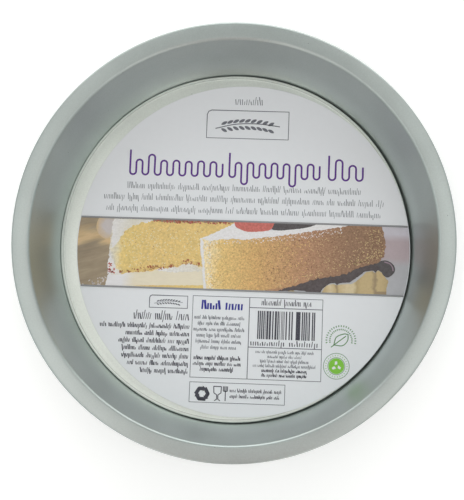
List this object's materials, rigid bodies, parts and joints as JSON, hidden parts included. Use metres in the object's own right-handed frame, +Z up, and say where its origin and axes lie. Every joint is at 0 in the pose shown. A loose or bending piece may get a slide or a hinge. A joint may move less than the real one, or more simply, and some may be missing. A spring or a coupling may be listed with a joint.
{
  "type": "cake tin",
  "caption": "Shallow round sandwich cake tin with a flared wall, flat rim and loose base disc, with a round printed card lying in it.",
  "frame": {"origin": "middle of the ring that the tin stands on, at floor height", "axes": "+Z up out of the mouth; +Y towards the top of the card's print, +X to its right"},
  "size_m": [0.2176, 0.2176, 0.0349],
  "materials": {
    "coated_steel": "satin",
    "base_steel": "satin",
    "printed_card": "satin"
  },
  "bodies": {
    "root": {"tin_body": "coated_steel", "loose_base": "base_steel", "printed_card": "printed_card"}
  },
  "joints": []
}
